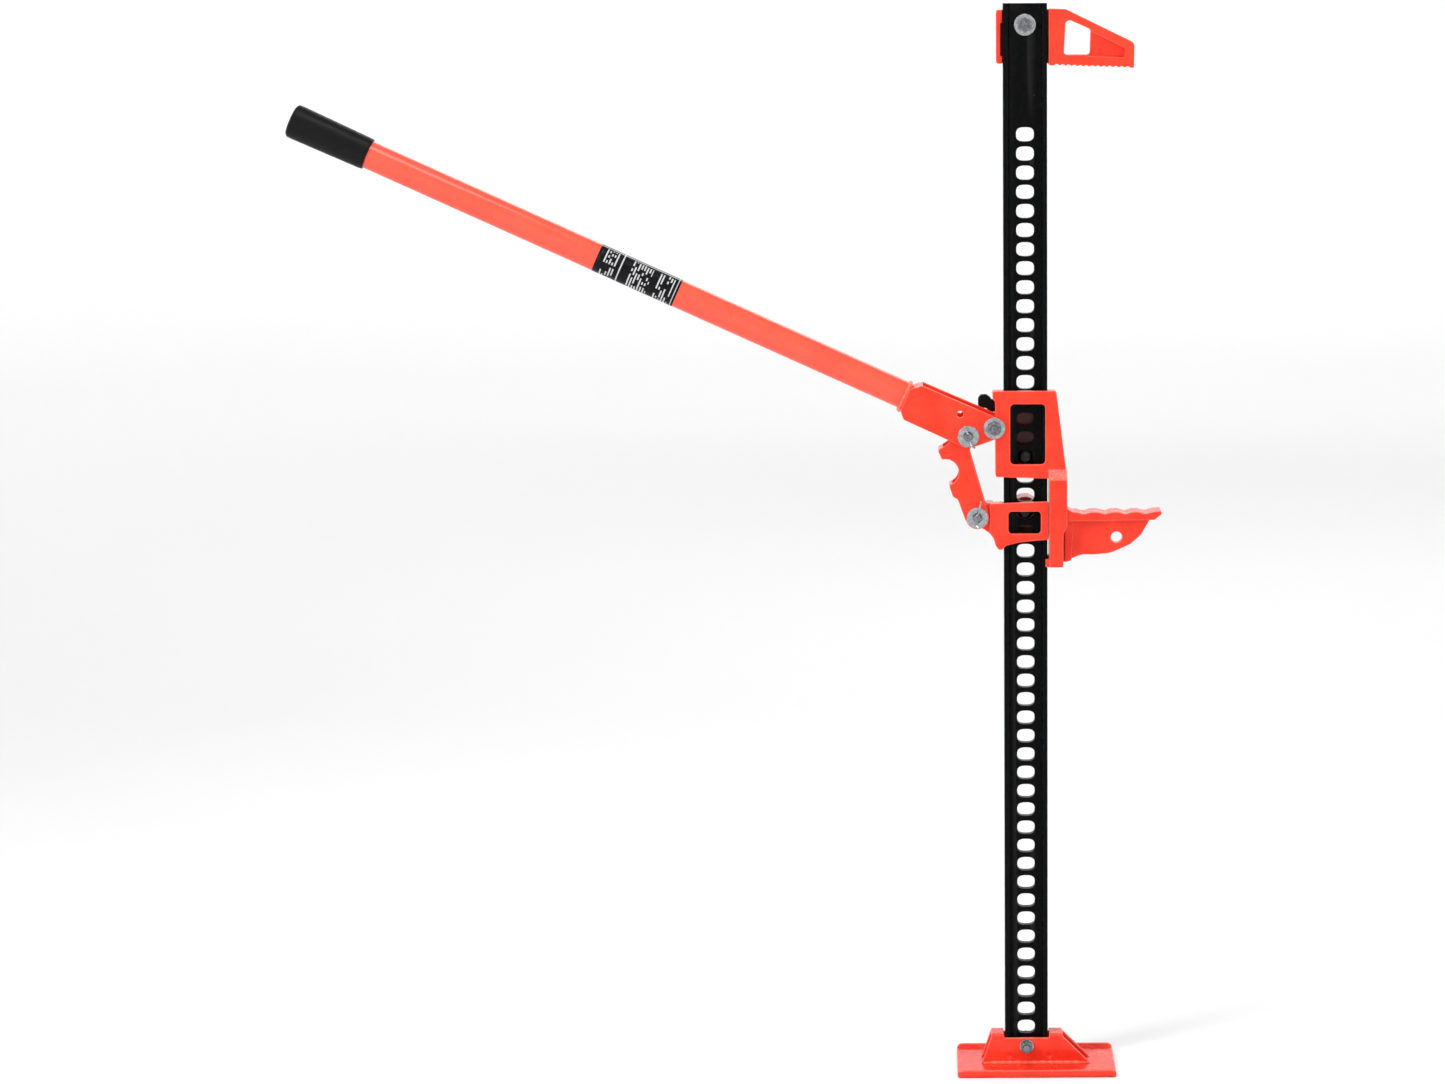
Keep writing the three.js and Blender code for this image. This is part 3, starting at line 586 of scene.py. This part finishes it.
def rating_label():
    """A black label on the tube, with its layout as texture coordinates."""
    build = bmesh.new()
    texture = build.loops.layers.uv.new("UVMap")
    outer, inner = [[[build.verts.new(label_place(column, side, radius))
                      for side in range(LABEL_SIDES + 1)] for column in range(LABEL_COLUMNS + 1)]
                    for radius in (LABEL_OUTSIDE, LABEL_OUTSIDE - LABEL_THICKNESS)]

    def face(corners, places):
        made = build.faces.new(corners)
        for loop, place in zip(made.loops, places):
            loop[texture].uv = place

    for layer in (outer, inner):
        for column in range(LABEL_COLUMNS):
            for side in range(LABEL_SIDES):
                square = ((column, side), (column + 1, side), (column + 1, side + 1), (column, side + 1))
                places = [(1 - c / LABEL_COLUMNS, s / LABEL_SIDES) for c, s in square]
                face([layer[c][s] for c, s in square], places)
    border = [(c, 0) for c in range(LABEL_COLUMNS)] + [(LABEL_COLUMNS, s) for s in range(LABEL_SIDES)]
    border += [(c, LABEL_SIDES) for c in range(LABEL_COLUMNS, 0, -1)]
    border += [(0, s) for s in range(LABEL_SIDES, 0, -1)]
    for (c, s), (d, t) in zip(border, border[1:] + border[:1]):
        face([outer[c][s], outer[d][t], inner[d][t], inner[c][s]], [(0, 0)] * 4)
    mesh = finished_mesh(build, "rating_label")
    shade_smooth(mesh)
    add_object("rating_label", mesh, "handle", label_film())


THREAD_RADIUS = 0.004
THREAD_PITCH = 0.00125
THREAD_CREST = 0.0001
THREAD_DEPTH = 0.00035
THREAD_SIDES = 32
THREAD_START = 0.0004
THREAD_IN_NUT = 0.0015


def bolt_thread(name, body):
    """Fine rings of thread from the bare end of a bolt, whose axis is Y, into its nut."""
    low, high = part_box(name + "_bolt")
    front = low[1] + THREAD_START
    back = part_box(name + "_nut")[0][1] + THREAD_IN_NUT
    x, z = (low[0] + high[0]) / 2, (low[2] + high[2]) / 2
    steps = max(4, int((back - front) / (THREAD_PITCH / 2)))
    build = bmesh.new()
    rings = []
    for step in range(steps + 1):
        radius = THREAD_RADIUS + (THREAD_CREST if step % 2 else -THREAD_DEPTH)
        y = front + (back - front) * step / steps
        rings.append(ring_of(build, THREAD_SIDES, lambda turn: (
            x + radius * math.cos(turn), y, z + radius * math.sin(turn))))
    join_rings(build, rings)
    close_ends(build, rings)
    add_object(name + "_thread", finished_mesh(build, name + "_thread"), body, NUT_ZINC)


def bolt_threads():
    for name, body in (("base", "foot"), ("top", "rack"), ("pivot", "large_runner")):
        bolt_thread(name, body)


# ------------------------------------------------------------------ studio
def studio_paper():
    paper = Finish("studio_paper", PAPER, 0.75)
    paper.uneven_gloss(400, 2, 0.70, 0.80)
    return paper.material


BOWL_FLAT = (2.0, 8.0)                   # radii of the two flat rings
BOWL_RISE = 3.0
BOWL_HEIGHT = 5.0
BOWL_STEPS = 16
BOWL_SECTORS = 96
FLOOR_DROP = 0.0005


def studio_bowl():
    """A pale floor that curves up all round into a low wall."""
    profile = [(radius, 0.0) for radius in BOWL_FLAT]
    for step in range(1, BOWL_STEPS + 1):
        angle = math.radians(90) * step / BOWL_STEPS
        radius = BOWL_FLAT[-1] + BOWL_RISE * math.sin(angle)
        profile.append((radius, BOWL_HEIGHT * (1 - math.cos(angle))))
    build = bmesh.new()
    rings = [ring_of(build, BOWL_SECTORS, lambda turn: (radius * math.cos(turn), radius * math.sin(turn), z))
             for radius, z in profile]
    build.faces.new(rings[0])
    join_rings(build, rings, inward=True)
    data = finished_mesh(build, "studio_floor", outward=False)
    shade_smooth(data)
    data.materials.append(studio_paper())
    floor = bpy.data.objects.new("studio_floor", data)
    floor.location.z = -FLOOR_DROP
    bpy.context.scene.collection.objects.link(floor)


def area_light(name, place, target, size, watts):
    data = bpy.data.lights.new(name, "AREA")
    data.shape = "RECTANGLE"
    data.size, data.size_y = size
    data.energy = watts
    lamp = bpy.data.objects.new(name, data)
    lamp.location = place
    lamp.rotation_mode = "QUATERNION"
    lamp.rotation_quaternion = (Vector(place) - Vector(target)).to_track_quat("Z", "Y")
    bpy.context.scene.collection.objects.link(lamp)


def studio_air():
    """Dim white light from all round."""
    world = bpy.data.worlds.new("studio_air")
    world.use_nodes = True
    background = world.node_tree.nodes["Background"]
    background.inputs["Color"].default_value = (1.0, 1.0, 1.0, 1.0)
    background.inputs["Strength"].default_value = 0.3
    bpy.context.scene.world = world


JACK_MIDDLE = (0, 0, 0.6)
WASH_COUNT = 6
WASH_OUT, WASH_HEIGHT = 5, 5.5
WALL_OUT, WALL_HEIGHT = 11, 2.4


def lights():
    """Four soft boxes on the jack, and washes that keep the wall white all round."""
    area_light("softbox_left", (-3.6, -3.0, 3.0), JACK_MIDDLE, size=(1.2, 2.2), watts=120)
    area_light("softbox_right", (3.4, -3.2, 2.6), JACK_MIDDLE, size=(1.0, 2.0), watts=60)
    area_light("softbox_top", (-0.4, -1.2, 4.4), JACK_MIDDLE, size=(2.2, 1.6), watts=90)
    area_light("softbox_back", (0.6, 3.6, 3.0), JACK_MIDDLE, size=(2.6, 1.4), watts=45)
    for turn in range(WASH_COUNT):
        angle = math.radians(360 / WASH_COUNT * turn + 90)
        x, y = math.cos(angle), math.sin(angle)
        place = (WASH_OUT * x, WASH_OUT * y, WASH_HEIGHT)
        wall = (WALL_OUT * x, WALL_OUT * y, WALL_HEIGHT)
        area_light("wall_wash_%d" % turn, place, wall, size=(3.0, 1.0), watts=190)


CAMERA_PLACE = (-0.109, -4.362, 1.260)
CAMERA_TURN = math.radians(-0.10)        # to the right
CAMERA_DOWN = math.radians(8.41)
CAMERA_ROLL = math.radians(0.31)         # clockwise
CAMERA_LENS = 96.2                       # mm on a 36 mm sensor
CAMERA_SHIFT = -0.139


def camera():
    data = bpy.data.cameras.new("camera")
    data.lens = CAMERA_LENS
    data.sensor_width = 36
    data.shift_x = CAMERA_SHIFT
    data.clip_end = 100
    eye = bpy.data.objects.new("camera", data)
    turn = Matrix.Rotation(-CAMERA_TURN, 4, "Z")
    tilt = Matrix.Rotation(math.radians(90) - CAMERA_DOWN, 4, "X")
    roll = Matrix.Rotation(-CAMERA_ROLL, 4, "Z")
    eye.matrix_world = Matrix.Translation(CAMERA_PLACE) @ turn @ tilt @ roll
    bpy.context.scene.collection.objects.link(eye)
    bpy.context.scene.camera = eye


castings()
folded_sheet()
plain_nodes()
latch_grip()
foot_welds()
socket_weld()
rating_label()
bolt_threads()
studio_bowl()
studio_air()
lights()
camera()
bpy.context.scene.view_settings.view_transform = "Standard"
